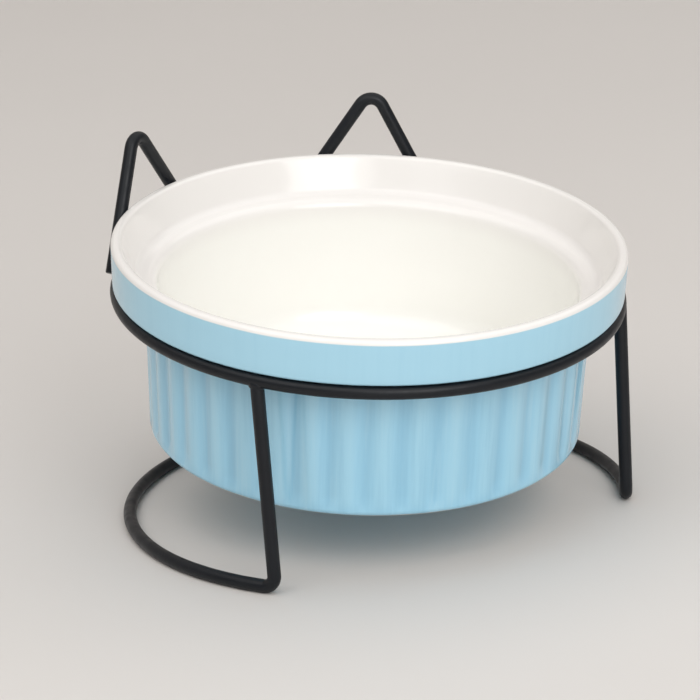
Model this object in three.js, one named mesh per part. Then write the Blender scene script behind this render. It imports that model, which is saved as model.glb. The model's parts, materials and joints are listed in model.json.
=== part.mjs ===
// A raised pet bowl: a fluted ceramic bowl that hangs by its collar in the ring of a tilted wire
// stand with two cat ears. Millimetres, +Z up. The bowl faces -Y, and the floor is z = 0.
import * as THREE from 'three';

// Driving dimensions.
const TILT = THREE.MathUtils.degToRad(7.1); // the ring and the bowl lean down towards the front
const RING_HEIGHT = 68.9; // centre of the support ring above the floor
const RING_SHIFT = -0.68; // puts the origin under the middle of the whole object, front to back
const RING_RADIUS = 75.7; // centreline of the ring wire
const WIRE_RADIUS = 2;
const GAP = 0.3; // clearance kept between pieces that touch

const BASE_RADIUS = 76.3; // centreline of the horseshoe on the floor
const BASE_SHIFT = -0.5; // the horseshoe sits this far in front of the ring
const FRONT_FOOT_ANGLE = THREE.MathUtils.degToRad(54); // from the front, to either side
const FRONT_TOP_ANGLE = THREE.MathUtils.degToRad(55.7); // where the same leg meets the ring
const REAR_LEG_ANGLE = THREE.MathUtils.degToRad(24); // from the back, to either side
const FOOT_BEND_RADIUS = 3.5;
const LEG_TOP_DROP = 2.75; // a leg's square end stops this far short of the middle of the ring wire

const EAR_INNER_ANGLE = THREE.MathUtils.degToRad(12.1); // from the back, to either side
const EAR_OUTER_ANGLE = THREE.MathUtils.degToRad(48.1);
const EAR_TIP_ANGLE = THREE.MathUtils.degToRad(33.6);
const EAR_TIP_RADIUS = 77.9; // from the ring's axis to the point where the ear's sides would meet
const EAR_TIP_HEIGHT = 114.3; // of that point above the floor
const EAR_BEND_RADIUS = 4.2;
const EAR_END_DROP = 3; // how far an ear's wire ends below the middle of the ring wire

// The bowl, measured along its own axis from the plane of the support ring.
const RIM_RADIUS = 77.5;
const RIM_HEIGHT = 16.1;
const LIP_WIDTH = 3;
const LIP_ROUND = 1.4;
const COLLAR_LOW_RADIUS = 77;
const COLLAR_UNDERSIDE = WIRE_RADIUS + GAP; // the collar rests on top of the ring wire
const COLLAR_CORNER_ROUND = 1;
const SHOULDER_ROUND = 2.5; // between the collar's underside and the fluted wall
const BODY_TOP_RADIUS = 67.5;
const BODY_LOW_RADIUS = 65.9;
const BOWL_DEPTH = 43.8; // from the ring plane down to the bowl's base
const BASE_ROUND = 2;
const FOOT_RADIUS = 58; // outer edge of the shallow recess under the bowl
const FOOT_RECESS = 1.5;
const FOOT_SLOPE = 2;
const LEDGE_RADIUS = 69.6; // inside, where the collar's wall meets the ledge
const LEDGE_HEIGHT = 5.1;
const LEDGE_EDGE_RADIUS = 63.6;
const LEDGE_EDGE_HEIGHT = 4.5;
const LEDGE_ROUND = 3;
const FLOOR_RADIUS = 61.8;
const FLOOR_THICKNESS = 5;
const FLOOR_ROUND = 9;
const FLUTES = 40;
const FLUTE_DEPTH = 1;
const FLUTE_RUNOUT = 3; // over which the flutes fade out, at the top and the bottom of the wall

const WIRE_SIDES = 10;
const RING_STEPS = 2 * FLUTES; // the same as the bowl's, so that the two facet alike
const BEND_STEPS = 6;

const glaze = new THREE.MeshStandardMaterial({ color: 0x9cc8dc, roughness: 0.2, metalness: 0 });
const blackWire = () => new THREE.MeshStandardMaterial({ color: 0x1b1b1d, roughness: 0.4, metalness: 0.3 });

// A wire's centreline, made of pieces that each know how many steps they need.
class WirePath extends THREE.Curve {
  constructor(pieces) {
    super();
    this.pieces = pieces;
    this.steps = pieces.reduce((sum, piece) => sum + piece.steps, 0);
  }

  getPoint(t) {
    let place = t * this.steps;
    for (const piece of this.pieces) {
      if (place <= piece.steps || piece === this.pieces.at(-1)) return piece.at(place / piece.steps);
      place -= piece.steps;
    }
    return null;
  }

  getUtoTmapping(u) {
    return u;
  }
}

function straight(from, to) {
  return { steps: 1, at: (t) => from.clone().lerp(to, t) };
}

// A round bend that leaves `start` along `direction` and turns by `angle` towards `side`.
function bend(start, direction, side, radius, angle, steps) {
  const centre = start.clone().addScaledVector(side, radius);
  return {
    steps,
    at: (t) => centre.clone()
      .addScaledVector(side, -radius * Math.cos(angle * t))
      .addScaledVector(direction, radius * Math.sin(angle * t)),
  };
}

// The wire's section is a polygon round the true circle, turned so that one of its flat sides faces
// straight down half way along the wire.
function wireMesh(name, path) {
  const { normals, binormals } = path.computeFrenetFrames(path.steps);
  const middle = Math.floor(path.steps / 2);
  const facing = Math.atan2(-binormals[middle].z, -normals[middle].z);
  const halfSide = Math.PI / WIRE_SIDES;
  const cornerRadius = WIRE_RADIUS / Math.cos(halfSide);
  const section = new THREE.Shape();
  for (let i = 0; i < WIRE_SIDES; i += 1) {
    const a = facing + halfSide * (2 * i + 1);
    const corner = [cornerRadius * Math.cos(a), cornerRadius * Math.sin(a)];
    if (i === 0) section.moveTo(...corner);
    else section.lineTo(...corner);
  }
  section.closePath();
  const geometry = new THREE.ExtrudeGeometry(section, { steps: path.steps, extrudePath: path });
  const mesh = new THREE.Mesh(geometry, blackWire());
  mesh.name = name;
  return mesh;
}

// A point at `radius` and `angle` round the ring's axis and `height` above the ring's plane.
// The angle runs from the back, positive towards -X, which is the left seen from the front.
function onRing(radius, angle, height = 0) {
  return new THREE.Vector3(-radius * Math.sin(angle), radius * Math.cos(angle), height)
    .applyAxisAngle(new THREE.Vector3(1, 0, 0), TILT)
    .add(new THREE.Vector3(0, RING_SHIFT, RING_HEIGHT));
}

// The top of the leg that runs from `foot` to the ring wire at `angle` from the back.
function legTop(foot, angle) {
  const onWire = onRing(RING_RADIUS, angle);
  const down = foot.clone().sub(onWire).normalize();
  return onWire.addScaledVector(down, LEG_TOP_DROP);
}

// The outline through `corners`, each [radius, height] with the size and the steps of its rounding.
function roundedOutline(corners) {
  const places = corners.map(([radius, height]) => new THREE.Vector2(radius, height));
  return corners.flatMap(([, , round = 0, steps = 2], i) => {
    const corner = places[i];
    if (round === 0) return [corner];
    const back = places[i - 1].clone().sub(corner).normalize();
    const on = places[i + 1].clone().sub(corner).normalize();
    const half = Math.acos(back.dot(on)) / 2;
    const centre = back.clone().add(on).setLength(round / Math.sin(half)).add(corner);
    const start = back.clone().multiplyScalar(round / Math.tan(half)).add(corner);
    const sweep = (Math.PI - 2 * half) * Math.sign(-back.cross(on));
    const turns = Array.from({ length: steps + 1 }, (_, k) => (sweep * k) / steps);
    return turns.map((turn) => start.clone().rotateAround(centre, turn));
  });
}

// From the middle of the underside, up the outside, over the lip, and down to the middle of the floor.
function bowlOutline() {
  const bottom = -BOWL_DEPTH;
  const floor = bottom + FLOOR_THICKNESS;
  const wallHeight = COLLAR_UNDERSIDE - bottom;
  const onWall = (height) => [
    THREE.MathUtils.lerp(BODY_LOW_RADIUS, BODY_TOP_RADIUS, (height - bottom) / wallHeight),
    height,
  ];
  return roundedOutline([
    [0, bottom + FOOT_RECESS],
    [FOOT_RADIUS - FOOT_SLOPE, bottom + FOOT_RECESS],
    [FOOT_RADIUS, bottom],
    [BODY_LOW_RADIUS, bottom, BASE_ROUND, 3],
    onWall(bottom + BASE_ROUND + FLUTE_RUNOUT),
    onWall(COLLAR_UNDERSIDE - SHOULDER_ROUND - FLUTE_RUNOUT),
    [BODY_TOP_RADIUS, COLLAR_UNDERSIDE, SHOULDER_ROUND],
    [COLLAR_LOW_RADIUS, COLLAR_UNDERSIDE, COLLAR_CORNER_ROUND],
    [RIM_RADIUS, RIM_HEIGHT, LIP_ROUND, 3],
    [RIM_RADIUS - LIP_WIDTH, RIM_HEIGHT, LIP_ROUND],
    [LEDGE_RADIUS, LEDGE_HEIGHT, LEDGE_ROUND],
    [LEDGE_EDGE_RADIUS, LEDGE_EDGE_HEIGHT, LEDGE_ROUND],
    [FLOOR_RADIUS, floor, FLOOR_ROUND, 4],
    [0, floor],
  ]);
}

// Every second facet of the outer wall swings in, from one run-out of the flutes to the other.
function carveFlutes(geometry) {
  const top = COLLAR_UNDERSIDE - SHOULDER_ROUND - FLUTE_RUNOUT / 2;
  const low = -BOWL_DEPTH + BASE_ROUND + FLUTE_RUNOUT / 2;
  const position = geometry.attributes.position;
  for (let i = 0; i < position.count; i += 1) {
    const [x, height, z] = [position.getX(i), position.getY(i), position.getZ(i)];
    const radius = Math.hypot(x, z);
    const facet = Math.round((Math.atan2(z, x) / (2 * Math.PI)) * RING_STEPS);
    const onWall = radius > BODY_LOW_RADIUS && height > low && height < top;
    if (onWall && facet % 2 !== 0) {
      const scale = (radius - FLUTE_DEPTH) / radius;
      position.setXYZ(i, x * scale, height, z * scale);
    }
  }
}

function bowl() {
  const geometry = new THREE.LatheGeometry(bowlOutline(), RING_STEPS);
  carveFlutes(geometry);
  geometry.rotateX(Math.PI / 2);
  geometry.computeVertexNormals();
  const mesh = new THREE.Mesh(geometry, glaze);
  mesh.name = 'bowl';
  return mesh;
}

function supportRing() {
  const geometry = new THREE.TorusGeometry(RING_RADIUS, WIRE_RADIUS, WIRE_SIDES, RING_STEPS);
  const mesh = new THREE.Mesh(geometry, blackWire());
  mesh.name = 'support_ring';
  return mesh;
}

// One wire: down the left front leg, round the back on the floor, and up the right front leg.
function baseWire() {
  const up = new THREE.Vector3(0, 0, 1);
  const down = up.clone().negate();
  const centre = new THREE.Vector3(0, RING_SHIFT + BASE_SHIFT, WIRE_RADIUS);
  const startAngle = Math.PI - FRONT_FOOT_ANGLE - FOOT_BEND_RADIUS / BASE_RADIUS;
  const onBase = (angle) => centre.clone()
    .add(new THREE.Vector3(-BASE_RADIUS * Math.sin(angle), BASE_RADIUS * Math.cos(angle), 0));
  const along = (angle) => new THREE.Vector3(Math.cos(angle), Math.sin(angle), 0);

  const bendStart = (angle, direction) => onBase(angle)
    .addScaledVector(direction, -FOOT_BEND_RADIUS).addScaledVector(up, FOOT_BEND_RADIUS);

  const inLeft = along(startAngle);
  const leftBend = bendStart(startAngle, inLeft);
  const inRight = along(-startAngle).negate();
  const rightBend = bendStart(-startAngle, inRight);
  const arcSteps = Math.round((startAngle / Math.PI) * RING_STEPS);
  return wireMesh('base_wire', new WirePath([
    straight(legTop(leftBend, Math.PI - FRONT_TOP_ANGLE), leftBend),
    bend(leftBend, down, inLeft, FOOT_BEND_RADIUS, Math.PI / 2, BEND_STEPS),
    { steps: arcSteps, at: (t) => onBase(startAngle * (1 - 2 * t)) },
    bend(onBase(-startAngle), inRight.clone().negate(), up, FOOT_BEND_RADIUS, Math.PI / 2, BEND_STEPS),
    straight(rightBend, legTop(rightBend, FRONT_TOP_ANGLE - Math.PI)),
  ]));
}

// One wire: up from the outside of the ring, round the tip, and down to the ring again.
function ear(name, side) {
  const welded = RING_RADIUS + 2 * WIRE_RADIUS + GAP;
  const outerEnd = onRing(welded, side * EAR_OUTER_ANGLE, -EAR_END_DROP);
  const innerEnd = onRing(welded, side * EAR_INNER_ANGLE, -EAR_END_DROP);
  const tip = new THREE.Vector3(
    -side * EAR_TIP_RADIUS * Math.sin(EAR_TIP_ANGLE),
    EAR_TIP_RADIUS * Math.cos(EAR_TIP_ANGLE) + RING_SHIFT,
    EAR_TIP_HEIGHT,
  );
  const rise = tip.clone().sub(outerEnd).normalize();
  const fall = innerEnd.clone().sub(tip).normalize();
  const turn = rise.angleTo(fall);
  const setback = EAR_BEND_RADIUS * Math.tan(turn / 2);
  const bendFrom = tip.clone().addScaledVector(rise, -setback);
  const bendTo = tip.clone().addScaledVector(fall, setback);
  const inward = fall.clone().addScaledVector(rise, -fall.dot(rise)).normalize();
  return wireMesh(name, new WirePath([
    straight(outerEnd, bendFrom),
    bend(bendFrom, rise, inward, EAR_BEND_RADIUS, turn, BEND_STEPS),
    straight(bendTo, innerEnd),
  ]));
}

function rearLeg(name, side) {
  const angle = side * REAR_LEG_ANGLE;
  const foot = new THREE.Vector3(
    -BASE_RADIUS * Math.sin(angle),
    BASE_RADIUS * Math.cos(angle) + RING_SHIFT + BASE_SHIFT,
    2 * WIRE_RADIUS + GAP,
  );
  return wireMesh(name, new WirePath([straight(foot, legTop(foot, angle))]));
}

// The ring and the bowl share one tilted frame.
const tilted = new THREE.Group();
tilted.position.set(0, RING_SHIFT, RING_HEIGHT);
tilted.rotation.x = TILT;
tilted.add(supportRing(), bowl());

const group = new THREE.Group();
group.add(tilted, baseWire());
group.add(ear('ear_left', 1), ear('ear_right', -1));
group.add(rearLeg('rear_leg_left', 1), rearLeg('rear_leg_right', -1));

export default group;
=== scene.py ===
"""A fluted ceramic pet bowl in a tilted black wire stand with cat ears. +Z up, front at -Y."""
import json
import math

import bmesh
import bpy
from mathutils import Matrix, Vector, noise


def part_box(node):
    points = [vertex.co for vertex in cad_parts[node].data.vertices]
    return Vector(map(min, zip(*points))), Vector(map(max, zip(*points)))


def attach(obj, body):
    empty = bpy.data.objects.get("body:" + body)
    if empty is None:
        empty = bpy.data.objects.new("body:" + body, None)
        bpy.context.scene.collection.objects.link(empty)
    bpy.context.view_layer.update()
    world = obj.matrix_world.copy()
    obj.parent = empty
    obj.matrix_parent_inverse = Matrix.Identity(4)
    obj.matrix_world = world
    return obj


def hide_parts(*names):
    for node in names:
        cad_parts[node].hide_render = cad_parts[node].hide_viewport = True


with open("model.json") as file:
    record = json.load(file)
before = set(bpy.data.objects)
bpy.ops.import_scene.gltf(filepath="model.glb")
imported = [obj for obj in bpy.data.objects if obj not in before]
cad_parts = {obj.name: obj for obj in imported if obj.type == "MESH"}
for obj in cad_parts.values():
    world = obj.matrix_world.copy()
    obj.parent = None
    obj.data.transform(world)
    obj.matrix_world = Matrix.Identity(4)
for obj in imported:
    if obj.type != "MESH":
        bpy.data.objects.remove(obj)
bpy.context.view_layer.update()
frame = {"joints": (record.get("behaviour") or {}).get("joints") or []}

MM = 0.001

# --- Places, read from the frame ---------------------------------------------------------------

RING_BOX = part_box("support_ring")
RING_CENTRE = (RING_BOX[0] + RING_BOX[1]) / 2
AXIS = Vector(frame["joints"][0]["axis"]).normalized()  # the bowl's own axis, the way it lifts out
TILT = math.atan2(-AXIS.y, AXIS.z)
TILTED = Matrix.Translation(RING_CENTRE) @ Matrix.Rotation(TILT, 4, "X")

# --- The stand's driving dimensions, as in the CAD model ----------------------------------------

WIRE = 2 * MM  # radius
RING_RADIUS = RING_BOX[1].x - WIRE
BASE_RADIUS = 76.3 * MM
BASE_CENTRE = Vector((0, RING_CENTRE.y - 0.5 * MM, WIRE))
FRONT_FOOT_ANGLE = math.radians(54)
FRONT_TOP_ANGLE = math.radians(55.7)
REAR_LEG_ANGLE = math.radians(24)
LEG_END_GAP = 0.6 * WIRE  # between a leg's end and the middle of the wire that it is welded to
FOOT_BEND = 3.5 * MM
EAR_INNER_ANGLE = math.radians(12.1)
EAR_OUTER_ANGLE = math.radians(48.1)
EAR_TIP_ANGLE = math.radians(33.6)
EAR_TIP_RADIUS = 77.9 * MM
EAR_TIP_HEIGHT = 114.24 * MM  # a hair less, because the bend is rounder here
EAR_BEND = 4.2 * MM
EAR_END_DROP = 3 * MM
WIRE_END_ROUND = 0.35 * MM
WELD_GAP = 0.3 * MM  # left between wires in the CAD model, and filled by weld beads here
BEAD_LENGTH = 2.6 * MM  # half a bead's length, along the wire
BEAD_WIDTH = 2.1 * MM  # half its width
EAR_BEAD_WIDTH = 1.5 * MM

# --- The bowl's outline, in millimetres from the ring's plane, as in the CAD model ---------------

RIM_RADIUS = 77.44  # a hair less, because the lip is rounder here
RIM_HEIGHT = 16.1
LIP_WIDTH = 3
LIP_ROUND = 1.4
COLLAR_LOW_RADIUS = 77
COLLAR_UNDERSIDE = 2.3
COLLAR_CORNER_ROUND = 1
SHOULDER_ROUND = 2.5
BODY_TOP_RADIUS = 67.5
BODY_LOW_RADIUS = 65.9
BOWL_DEPTH = 43.8
BASE_ROUND = 2
FOOT_RADIUS = 58
FOOT_RECESS = 1.5
FOOT_SLOPE = 2
FOOT_EDGE_ROUND = 0.6
LEDGE_RADIUS = 69.6
LEDGE_HEIGHT = 5.1
LEDGE_EDGE_RADIUS = 63.6
LEDGE_EDGE_HEIGHT = 4.5
LEDGE_ROUND = 3
FLOOR_RADIUS = 61.8
FLOOR_THICKNESS = 5
FLOOR_ROUND = 9
FLUTES = 40
FLUTE_DEPTH = 1
FLUTE_RUNOUT = 3
RIB_SOFTNESS = 0.25  # 0 makes the grooves as sharp as a V, and more makes them rounder
GLAZE_LINE = 15.2  # where the white of the lip gives way to the blue of the collar
LONGEST_STEP = 2.5  # between two points of the outline

# --- Colours, linear. A pair is mixed by slow noise ---------------------------------------------

BODY_BLUE = (0.32, 0.625, 0.815), (0.36, 0.665, 0.84)
COLLAR_BLUE = (0.385, 0.665, 0.815)
CREST_BLUE = (0.46, 0.75, 0.88)
GROOVE_BLUE = (0.23, 0.50, 0.69)
POOLED_BLUE = (0.24, 0.51, 0.70)
THINNED_BLUE = (0.45, 0.72, 0.86)
# Painted light and shade: the floor's white is lighter, and the white from the ledge up is darker
# and warmer, for how light falls inside the bowl.
LIT_FLOOR_WHITE = (0.93, 0.92, 0.88), (0.95, 0.945, 0.91)
SHADED_UPPER_WHITE = (0.875, 0.85, 0.825)
BARE_CLAY = (0.62, 0.56, 0.47)
WIRE_BLACK = (0.003, 0.004, 0.007), (0.007, 0.009, 0.012)
STUDIO_FLOOR = (0.68, 0.65, 0.625), (0.71, 0.68, 0.655)
SKY = (1.0, 0.985, 0.965)

LIT_PLACE = Vector((0, 0, 0.06))  # where the lights point: the inside of the bowl

# --- Camera ------------------------------------------------------------------------------------

AZIMUTH, ELEVATION, DISTANCE = -30.665, 16.213, 0.845
AIM_YAW, AIM_PITCH, ROLL = 0.425, -1.233, 2.284  # degrees, turned in that order
LENS = 144
SENSOR = 36


def make_camera():
    azimuth, elevation = math.radians(AZIMUTH), math.radians(ELEVATION)
    back = Vector((
        math.sin(azimuth) * math.cos(elevation),
        -math.cos(azimuth) * math.cos(elevation),
        math.sin(elevation),
    ))
    right = Vector((0, 0, 1)).cross(back).normalized()
    facing = Matrix((right, back.cross(right), back)).transposed()
    facing @= Matrix.Rotation(math.radians(AIM_YAW), 3, "Y")
    facing @= Matrix.Rotation(math.radians(AIM_PITCH), 3, "X")
    facing @= Matrix.Rotation(math.radians(-ROLL), 3, "Z")
    data = bpy.data.cameras.new("camera")
    data.lens = LENS
    data.sensor_width = SENSOR
    camera = bpy.data.objects.new("camera", data)
    camera.matrix_world = Matrix.Translation(RING_CENTRE + DISTANCE * back) @ facing.to_4x4()
    bpy.context.scene.collection.objects.link(camera)
    bpy.context.scene.camera = camera


# --- Mesh helpers ------------------------------------------------------------------------------


def add_object(name, mesh, material):
    mesh.materials.append(material)
    mesh.polygons.foreach_set("use_smooth", [True] * len(mesh.polygons))
    piece = bpy.data.objects.new(name, mesh)
    bpy.context.scene.collection.objects.link(piece)
    return piece


def make_object(name, vertices, faces, material):
    mesh = bpy.data.meshes.new(name)
    mesh.from_pydata([tuple(v) for v in vertices], [], faces)
    return add_object(name, mesh, material)


def set_attribute(piece, name, values):
    layer = piece.data.attributes.new(name, "FLOAT", "POINT")
    layer.data.foreach_set("value", values)


def smoothstep(low, high, value):
    t = min(max((value - low) / (high - low), 0), 1)
    return t * t * (3 - 2 * t)


def rounded_outline(corners):
    """The outline through corners, each (radius, height), some with a rounding's size and steps."""
    places = [Vector(corner[:2]) for corner in corners]
    outline = []
    for i, corner in enumerate(corners):
        if len(corner) == 2:
            outline.append(places[i])
            continue
        size, steps = corner[2:]
        before = (places[i - 1] - places[i]).normalized()
        after = (places[i + 1] - places[i]).normalized()
        half = before.angle(after) / 2
        centre = places[i] + (before + after).normalized() * size / math.sin(half)
        start = places[i] + before * size / math.tan(half) - centre
        sweep = (math.pi - 2 * half) * math.copysign(1, -before.cross(after))
        for k in range(steps + 1):
            outline.append(centre + Matrix.Rotation(sweep * k / steps, 2) @ start)
    return outline


def subdivided(outline, longest):
    """The same outline with no stretch longer than this."""
    fine = [outline[0]]
    for a, b in zip(outline, outline[1:]):
        parts = max(1, math.ceil((b - a).length / longest))
        fine.extend(a.lerp(b, k / parts) for k in range(1, parts + 1))
    return fine


# --- The bowl ----------------------------------------------------------------------------------


def bowl_outline():
    """From the middle of the underside, up the outside, over the lip, and to the floor's middle."""
    bottom = -BOWL_DEPTH
    floor = bottom + FLOOR_THICKNESS
    return subdivided(rounded_outline([
        (0, bottom + FOOT_RECESS),
        (FOOT_RADIUS - FOOT_SLOPE, bottom + FOOT_RECESS, FOOT_EDGE_ROUND, 4),
        (FOOT_RADIUS, bottom, FOOT_EDGE_ROUND, 4),
        (BODY_LOW_RADIUS, bottom, BASE_ROUND, 10),
        (BODY_TOP_RADIUS, COLLAR_UNDERSIDE, SHOULDER_ROUND, 8),
        (COLLAR_LOW_RADIUS, COLLAR_UNDERSIDE, COLLAR_CORNER_ROUND, 6),
        (RIM_RADIUS, RIM_HEIGHT, LIP_ROUND, 8),
        (RIM_RADIUS - LIP_WIDTH, RIM_HEIGHT, LIP_ROUND, 8),
        (LEDGE_RADIUS, LEDGE_HEIGHT, LEDGE_ROUND, 8),
        (LEDGE_EDGE_RADIUS, LEDGE_EDGE_HEIGHT, LEDGE_ROUND, 10),
        (FLOOR_RADIUS, floor, FLOOR_ROUND, 16),
        (0, floor),
    ]), LONGEST_STEP)


def rib_height(angle):
    """From 0 at the bottom of a groove to 1 on the crest of a rib, with a crest at the front."""
    crest = math.sqrt(1 + RIB_SOFTNESS ** 2) - RIB_SOFTNESS
    swing = math.cos(angle * FLUTES / 2) ** 2
    return (math.sqrt(swing + RIB_SOFTNESS ** 2) - RIB_SOFTNESS) / crest


def flute_strength(height):
    """How deep the grooves are at this height, from 0 to 1."""
    low, top = -BOWL_DEPTH + BASE_ROUND, COLLAR_UNDERSIDE - SHOULDER_ROUND
    fade_in = smoothstep(low, low + FLUTE_RUNOUT, height)
    fade_out = smoothstep(top - FLUTE_RUNOUT, top, height)
    return fade_in * (1 - fade_out)


def make_bowl(material):
    segments = FLUTES * 10
    outline = bowl_outline()
    widest = max(range(len(outline)), key=lambda i: outline[i].x)
    vertices, outside, height, relief = [], [], [], []

    def add(point, angle, i):
        is_wall = i < widest and point.x > BODY_LOW_RADIUS - FLUTE_DEPTH
        strength = flute_strength(point.y) if is_wall else 0
        rib = rib_height(angle)
        radius = point.x - FLUTE_DEPTH * strength * (1 - rib)
        local = Vector((radius * math.cos(angle), radius * math.sin(angle), point.y))
        vertices.append(TILTED @ (local * MM))
        outside.append(1.0 if i <= widest else 0.0)
        height.append(point.y)
        relief.append(strength * (2 * rib - 1))

    add(outline[0], 0, 0)
    for i, point in enumerate(outline[1:-1], 1):
        for k in range(segments):
            add(point, 2 * math.pi * k / segments, i)
    add(outline[-1], 0, len(outline))

    last = len(vertices) - 1
    faces = []
    for k in range(segments):
        following = (k + 1) % segments
        faces.append((0, 1 + following, 1 + k))
        faces.append((last, last - segments + k, last - segments + following))
        for i in range(len(outline) - 3):
            low, high = 1 + i * segments, 1 + (i + 1) * segments
            faces.append((low + k, low + following, high + following, high + k))
    bowl = make_object("ceramic_bowl", vertices, faces, material)
    set_attribute(bowl, "outside", outside)
    set_attribute(bowl, "height", height)
    set_attribute(bowl, "relief", relief)
    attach(bowl, "bowl")
    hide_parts("bowl")


# --- The wires ---------------------------------------------------------------------------------


def straight(start, end, steps=6):
    return [start.lerp(end, k / steps) for k in range(steps + 1)]


def bend(start, direction, side, radius, angle, steps=14):
    """A round bend that leaves start along direction, towards side, without its first point."""
    centre = start + radius * side
    turns = [angle * k / steps for k in range(1, steps + 1)]
    return [centre - side * radius * math.cos(a) + direction * radius * math.sin(a) for a in turns]


def on_ring(radius, angle, height=0.0):
    """A point by its angle from the back, positive towards -X, in the ring's tilted frame."""
    return TILTED @ Vector((-radius * math.sin(angle), radius * math.cos(angle), height))


def on_base(angle):
    return BASE_CENTRE + BASE_RADIUS * Vector((-math.sin(angle), math.cos(angle), 0))


def leg_top(foot, angle):
    """Where the leg that leans up from foot meets the ring wire, at this angle from the back."""
    on_wire = on_ring(RING_RADIUS, angle)
    return on_wire + (foot - on_wire).normalized() * LEG_END_GAP


def end_rows(point, inwards, side, other):
    """The rows that close a wire's end, from the middle of the end face out to the full width."""
    steps = 4
    rows = [(point, side, other, 0)]
    for k in range(steps + 1):
        a = math.pi / 2 * k / steps
        depth = WIRE_END_ROUND * (1 - math.cos(a))
        radius = WIRE - WIRE_END_ROUND * (1 - math.sin(a))
        rows.append((point + inwards * depth, side, other, radius))
    return rows


def sweep(name, path, material, closed=False, sides=28):
    """A round wire along path. Its ends, where it has any, are flat with a rounded edge."""
    count = len(path)
    rows, tangents = [], []
    side = None
    for i, point in enumerate(path):
        before = path[i - 1] if closed or i > 0 else point
        after = path[(i + 1) % count] if closed or i < count - 1 else point
        tangent = (after - before).normalized()
        side = tangent.orthogonal() if side is None else side - tangent * side.dot(tangent)
        side = side.normalized()
        rows.append((point, side, tangent.cross(side), WIRE))
        tangents.append(tangent)
    if not closed:
        first = end_rows(path[0], tangents[0], *rows[0][1:3])
        last = end_rows(path[-1], -tangents[-1], *rows[-1][1:3])
        rows = first + rows[1:-1] + last[::-1]
    vertices, faces = [], []
    for point, side, other, radius in rows:
        for k in range(sides):
            a = 2 * math.pi * k / sides
            vertices.append(point + radius * (math.cos(a) * side + math.sin(a) * other))
    for i in range(len(rows) if closed else len(rows) - 1):
        this, following = i * sides, ((i + 1) % len(rows)) * sides
        for k in range(sides):
            after = (k + 1) % sides
            faces.append((this + k, this + after, following + after, following + k))
    piece = make_object(name, vertices, faces, material)
    clean = bmesh.new()
    clean.from_mesh(piece.data)
    bmesh.ops.remove_doubles(clean, verts=clean.verts, dist=1e-7)
    bmesh.ops.recalc_face_normals(clean, faces=clean.faces)
    clean.to_mesh(piece.data)
    clean.free()
    return piece


def finish_wire(piece, node):
    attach(piece, "stand")
    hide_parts(node)


def make_ring(material):
    steps = 240
    path = [on_ring(RING_RADIUS, 2 * math.pi * k / steps) for k in range(steps)]
    finish_wire(sweep("ring_wire", path, material, closed=True), "support_ring")


def make_base(material):
    """Down the left front leg, round the back on the floor, and up the right front leg."""
    up = Vector((0, 0, 1))
    start = math.pi - FRONT_FOOT_ANGLE - FOOT_BEND / BASE_RADIUS
    along_left = Vector((math.cos(start), math.sin(start), 0))
    along_right = Vector((-math.cos(start), math.sin(start), 0))
    left_foot = on_base(start) - FOOT_BEND * along_left + FOOT_BEND * up
    right_foot = on_base(-start) - FOOT_BEND * along_right + FOOT_BEND * up
    left_top = leg_top(left_foot, math.pi - FRONT_TOP_ANGLE)
    right_top = leg_top(right_foot, FRONT_TOP_ANGLE - math.pi)
    arc_steps = 170
    path = straight(left_top, left_foot)
    path += bend(left_foot, -up, along_left, FOOT_BEND, math.pi / 2)
    path += [on_base(start * (1 - 2 * k / arc_steps)) for k in range(1, arc_steps + 1)]
    path += bend(on_base(-start), -along_right, up, FOOT_BEND, math.pi / 2)
    path += straight(right_foot, right_top)[1:]
    finish_wire(sweep("base_and_front_legs", path, material), "base_wire")
    return left_top, right_top


def make_ear(side, name, material):
    """Up from the outside of the ring, round the tip, and down to the ring again."""
    welded = RING_RADIUS + 2 * WIRE + WELD_GAP
    outer_end = on_ring(welded, side * EAR_OUTER_ANGLE, -EAR_END_DROP)
    inner_end = on_ring(welded, side * EAR_INNER_ANGLE, -EAR_END_DROP)
    tip = Vector((
        -side * EAR_TIP_RADIUS * math.sin(EAR_TIP_ANGLE),
        EAR_TIP_RADIUS * math.cos(EAR_TIP_ANGLE) + RING_CENTRE.y,
        EAR_TIP_HEIGHT,
    ))
    rise = (tip - outer_end).normalized()
    fall = (inner_end - tip).normalized()
    turn = rise.angle(fall)
    setback = EAR_BEND * math.tan(turn / 2)
    inward = (fall - rise * fall.dot(rise)).normalized()
    path = straight(outer_end, tip - setback * rise)
    path += bend(tip - setback * rise, rise, inward, EAR_BEND, turn)
    path += straight(tip + setback * fall, inner_end)[1:]
    finish_wire(sweep(name + "_wire", path, material), name)
    return (outer_end, rise), (inner_end, -fall)


def make_rear_leg(side, name, material):
    foot = on_base(side * REAR_LEG_ANGLE) + Vector((0, 0, LEG_END_GAP))
    top = leg_top(foot, side * REAR_LEG_ANGLE)
    finish_wire(sweep(name + "_wire", straight(foot, top), material), name)
    return foot, top


# --- Welds -------------------------------------------------------------------------------------


def make_bead(name, centre, axis, width, seed, material):
    """A weld bead: a drop of metal, longest along axis, with slight lumps that the seed varies."""
    lumpiness, frequency = 0.07, 1.6
    bead = bmesh.new()
    bmesh.ops.create_icosphere(bead, subdivisions=4, radius=1)
    turn = axis.to_track_quat("Z", "Y").to_matrix()
    for vertex in bead.verts:
        lump = 1 + lumpiness * noise.noise(vertex.co * frequency + Vector((seed, 0, 0)))
        vertex.co = centre + turn @ Vector((
            vertex.co.x * width * lump,
            vertex.co.y * width * lump,
            vertex.co.z * BEAD_LENGTH * lump,
        ))
    mesh = bpy.data.meshes.new(name)
    bead.to_mesh(mesh)
    bead.free()
    piece = add_object(name, mesh, material)
    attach(piece, "stand")


def ring_direction(point):
    """The way the ring wire runs past this point."""
    local = TILTED.inverted() @ point
    return (TILTED.to_3x3() @ Vector((-local.y, local.x, 0))).normalized()


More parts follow.
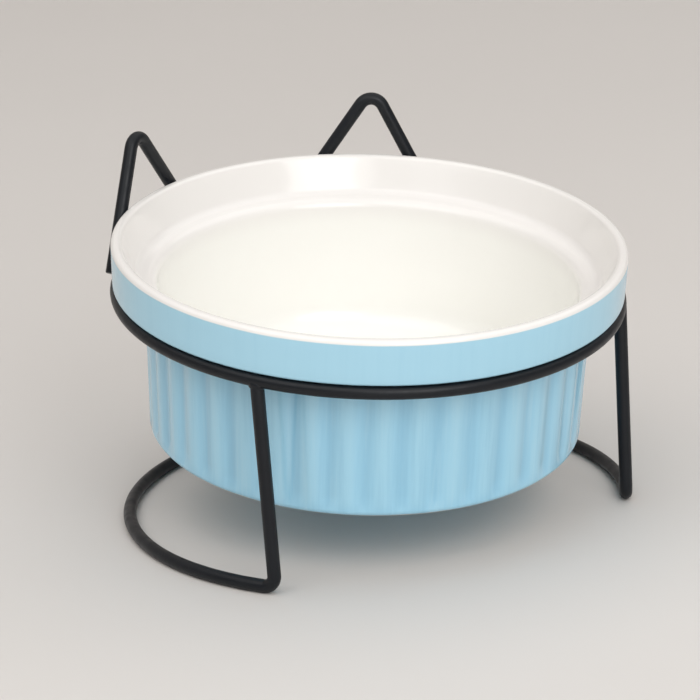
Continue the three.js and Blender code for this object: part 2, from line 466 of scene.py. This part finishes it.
def make_stand(material):
    make_ring(material)
    front_tops = make_base(material)
    for i, top in enumerate(front_tops):
        make_bead(f"weld_front_{i}", top, ring_direction(top), BEAD_WIDTH, i, material)
    for side, which in ((1, "left"), (-1, "right")):
        foot, top = make_rear_leg(side, f"rear_leg_{which}", material)
        around = Vector((-foot.y + BASE_CENTRE.y, foot.x, 0)).normalized()
        along = ring_direction(top)
        make_bead(f"weld_rear_foot_{which}", foot, around, BEAD_WIDTH, 5 + side, material)
        make_bead(f"weld_rear_top_{which}", top, along, BEAD_WIDTH, 9 + side, material)
        for n, (end, up_wire) in enumerate(make_ear(side, f"ear_{which}", material)):
            outwards = (end - TILTED @ Vector((0, 0, -EAR_END_DROP))).normalized()
            middle = end + up_wire * EAR_END_DROP - outwards * (WIRE + WELD_GAP / 2)
            seed = 20 + 3 * n + side
            make_bead(f"weld_ear_{which}_{n}", middle, up_wire, EAR_BEAD_WIDTH, seed, material)


# --- Materials ---------------------------------------------------------------------------------


def new_material(name):
    material = bpy.data.materials.new(name)
    material.use_nodes = True
    nodes = material.node_tree.nodes
    return material, nodes, material.node_tree.links, nodes["Principled BSDF"]


def noise_node(nodes, links, scale, detail, roughness=0.5, stretch=1.0):
    """Noise by place. A stretch over 1 draws it out along the bowl's axis."""
    place = nodes.new("ShaderNodeTexCoord")
    turned = nodes.new("ShaderNodeMapping")
    turned.vector_type = "TEXTURE"
    turned.inputs["Rotation"].default_value = (TILT, 0, 0)
    turned.inputs["Scale"].default_value = (1, 1, stretch)
    texture = nodes.new("ShaderNodeTexNoise")
    texture.inputs["Scale"].default_value = scale
    texture.inputs["Detail"].default_value = detail
    texture.inputs["Roughness"].default_value = roughness
    links.new(place.outputs["Object"], turned.inputs["Vector"])
    links.new(turned.outputs["Vector"], texture.inputs["Vector"])
    return texture.outputs["Fac"]


def map_range(nodes, links, value, low, high, to_low=0.0, to_high=1.0, smooth=False):
    node = nodes.new("ShaderNodeMapRange")
    node.interpolation_type = "SMOOTHSTEP" if smooth else "LINEAR"
    links.new(value, node.inputs["Value"])
    node.inputs["From Min"].default_value = low
    node.inputs["From Max"].default_value = high
    node.inputs["To Min"].default_value = to_low
    node.inputs["To Max"].default_value = to_high
    return node.outputs["Result"]


def math_node(nodes, links, operation, a, b):
    node = nodes.new("ShaderNodeMath")
    node.operation = operation
    for socket, value in zip(node.inputs, (a, b)):
        if isinstance(value, (int, float)):
            socket.default_value = value
        else:
            links.new(value, socket)
    return node.outputs["Value"]


def mix_colour(nodes, links, factor, a, b):
    node = nodes.new("ShaderNodeMix")
    node.data_type = "RGBA"
    links.new(factor, node.inputs["Factor"])
    first, second, result = node.inputs[6], node.inputs[7], node.outputs[2]  # its colour sockets
    for socket, value in ((first, a), (second, b)):
        if isinstance(value, tuple):
            socket.default_value = (*value, 1)
        else:
            links.new(value, socket)
    return result


def attribute(nodes, name):
    node = nodes.new("ShaderNodeAttribute")
    node.attribute_name = name
    return node.outputs["Fac"]


def bump(nodes, links, height, distance, normal=None):
    node = nodes.new("ShaderNodeBump")
    node.inputs["Distance"].default_value = distance
    node.inputs["Strength"].default_value = 1
    links.new(height, node.inputs["Height"])
    if normal is not None:
        links.new(normal, node.inputs["Normal"])
    return node.outputs["Normal"]


def glaze_material():
    """Blue glaze outside, cream white glaze inside and over the lip, and bare clay under the foot.

    The blue breaks lighter on the ribs, pools darker in the grooves, and has run down the wall.
    The white is painted darker and a little warmer from the ledge up, over the inner wall and the
    lip, as painted shade, and lighter on the floor as painted light.
    """
    material, nodes, links, shader = new_material("bowl_glaze")
    height = attribute(nodes, "height")
    outside = attribute(nodes, "outside")
    relief = attribute(nodes, "relief")
    drift = map_range(nodes, links, noise_node(nodes, links, 60, 3), 0.3, 0.7, -0.35, 0.35)
    cloud = noise_node(nodes, links, 22, 5, 0.55)
    wobbly = math_node(nodes, links, "ADD", height, drift)
    blend = 0.5
    under_lip = map_range(
        nodes, links, wobbly, GLAZE_LINE - blend, GLAZE_LINE + blend, 1, 0, smooth=True)
    blue_share = math_node(nodes, links, "MULTIPLY", under_lip, outside)

    blue = mix_colour(nodes, links, cloud, *BODY_BLUE)
    on_collar = map_range(nodes, links, height, 0, COLLAR_UNDERSIDE + 1, smooth=True)
    blue = mix_colour(nodes, links, on_collar, blue, COLLAR_BLUE)
    crest = map_range(nodes, links, relief, 0.0, 1.0, 0.0, 0.3)
    blue = mix_colour(nodes, links, crest, blue, CREST_BLUE)
    groove = map_range(nodes, links, relief, 0.0, -1.0, 0.0, 0.4)
    blue = mix_colour(nodes, links, groove, blue, GROOVE_BLUE)
    run = noise_node(nodes, links, 300, 4, 0.6, stretch=24)
    amount = map_range(nodes, links, on_collar, 0, 1, 0.4, 0.08)
    pooled = math_node(nodes, links, "MULTIPLY", amount, map_range(nodes, links, run, 0.5, 0.7))
    blue = mix_colour(nodes, links, pooled, blue, POOLED_BLUE)
    thinned = math_node(nodes, links, "MULTIPLY", amount, map_range(nodes, links, run, 0.48, 0.3))
    blue = mix_colour(nodes, links, thinned, blue, THINNED_BLUE)
    white = mix_colour(nodes, links, cloud, *LIT_FLOOR_WHITE)
    # Painted shade: from the ledge up, over the inner wall and the lip, the white is darker and
    # warmer than on the floor.
    wall_shade_above_ledge = map_range(nodes, links, height, -4, LEDGE_EDGE_HEIGHT + 1, smooth=True)
    white = mix_colour(nodes, links, wall_shade_above_ledge, white, SHADED_UPPER_WHITE)
    colour = mix_colour(nodes, links, blue_share, white, blue)

    bare = map_range(nodes, links, wobbly, -BOWL_DEPTH + 0.25, -BOWL_DEPTH + 0.6, 1, 0, smooth=True)
    bare = math_node(nodes, links, "MULTIPLY", bare, outside)
    colour = mix_colour(nodes, links, bare, colour, BARE_CLAY)
    links.new(colour, shader.inputs["Base Color"])

    gloss = map_range(nodes, links, noise_node(nodes, links, 90, 4), 0.3, 0.7, 0.16, 0.26)
    matt_clay = math_node(nodes, links, "MULTIPLY", bare, 0.8)
    roughness = math_node(nodes, links, "MAXIMUM", gloss, matt_clay)
    links.new(roughness, shader.inputs["Roughness"])
    shader.inputs["IOR"].default_value = 1.52
    shader.inputs["Coat Weight"].default_value = 0.35
    shader.inputs["Coat Roughness"].default_value = 0.06
    slow = bump(nodes, links, noise_node(nodes, links, 45, 2), 0.25 * MM)
    fine = bump(nodes, links, noise_node(nodes, links, 900, 2), 0.012 * MM, slow)
    links.new(fine, shader.inputs["Normal"])
    return material


def wire_material():
    """Satin black coating over steel wire, slightly pebbled, a little greyer where it is thin."""
    material, nodes, links, shader = new_material("black_wire")
    cloud = noise_node(nodes, links, 70, 4)
    colour = mix_colour(nodes, links, cloud, *WIRE_BLACK)
    links.new(colour, shader.inputs["Base Color"])
    roughness = map_range(nodes, links, noise_node(nodes, links, 300, 3), 0.3, 0.7, 0.30, 0.46)
    links.new(roughness, shader.inputs["Roughness"])
    shader.inputs["IOR"].default_value = 1.5
    shader.inputs["Specular IOR Level"].default_value = 0.3
    coarse = bump(nodes, links, noise_node(nodes, links, 400, 3), 0.03 * MM)
    fine = bump(nodes, links, noise_node(nodes, links, 2600, 2), 0.008 * MM, coarse)
    links.new(fine, shader.inputs["Normal"])
    return material


def floor_material():
    material, nodes, links, shader = new_material("pale_floor")
    cloud = noise_node(nodes, links, 3, 3)
    colour = mix_colour(nodes, links, cloud, *STUDIO_FLOOR)
    links.new(colour, shader.inputs["Base Color"])
    shader.inputs["Roughness"].default_value = 0.7
    return material


# --- Floor and light ---------------------------------------------------------------------------


def make_floor():
    """A pale sweep: a flat floor that curves up behind."""
    width, front, back, bend_radius, wall = 20.0, -20.0, 1.2, 0.6, 2.0
    rows = [(front, 0.0), (back, 0.0)]
    steps = 24
    for k in range(1, steps + 1):
        a = math.pi / 2 * k / steps
        rows.append((back + bend_radius * math.sin(a), bend_radius * (1 - math.cos(a))))
    rows.append((back + bend_radius, bend_radius + wall))
    vertices = [Vector((x, y, z)) for y, z in rows for x in (-width, width)]
    faces = [(2 * i, 2 * i + 1, 2 * i + 3, 2 * i + 2) for i in range(len(rows) - 1)]
    floor = make_object("floor", vertices, faces, floor_material())


def add_light(name, location, size, power):
    """A white disc of light that faces the bowl."""
    data = bpy.data.lights.new(name, "AREA")
    data.shape = "DISK"
    data.size = size
    data.energy = power
    light = bpy.data.objects.new(name, data)
    light.location = location
    facing = LIT_PLACE - Vector(location)
    light.rotation_euler = facing.to_track_quat("-Z", "Y").to_euler()
    bpy.context.scene.collection.objects.link(light)


def make_world():
    """Soft light from all round, bright overhead and dim near the horizon."""
    world = bpy.data.worlds.new("studio")
    world.use_nodes = True
    nodes, links = world.node_tree.nodes, world.node_tree.links
    background = nodes["Background"]
    background.inputs["Color"].default_value = (*SKY, 1)
    direction = nodes.new("ShaderNodeTexCoord")
    split = nodes.new("ShaderNodeSeparateXYZ")
    links.new(direction.outputs["Generated"], split.inputs["Vector"])
    strength = map_range(nodes, links, split.outputs["Z"], 0.45, 0.65, 0.3, 1.06, smooth=True)
    links.new(strength, background.inputs["Strength"])
    bpy.context.scene.world = world


def make_light():
    add_light("front", (-0.1, -1.3, 0.8), size=0.9, power=5.5)
    add_light("low_front", (-0.35, -1.3, 0.45), size=0.9, power=2.6)
    add_light("key", (-0.9, -0.5, 1.2), size=1.4, power=3.9)
    make_world()


# --- The scene ---------------------------------------------------------------------------------

make_camera()
make_bowl(glaze_material())
make_stand(wire_material())
make_floor()
make_light()
bpy.context.scene.view_settings.view_transform = "Standard"
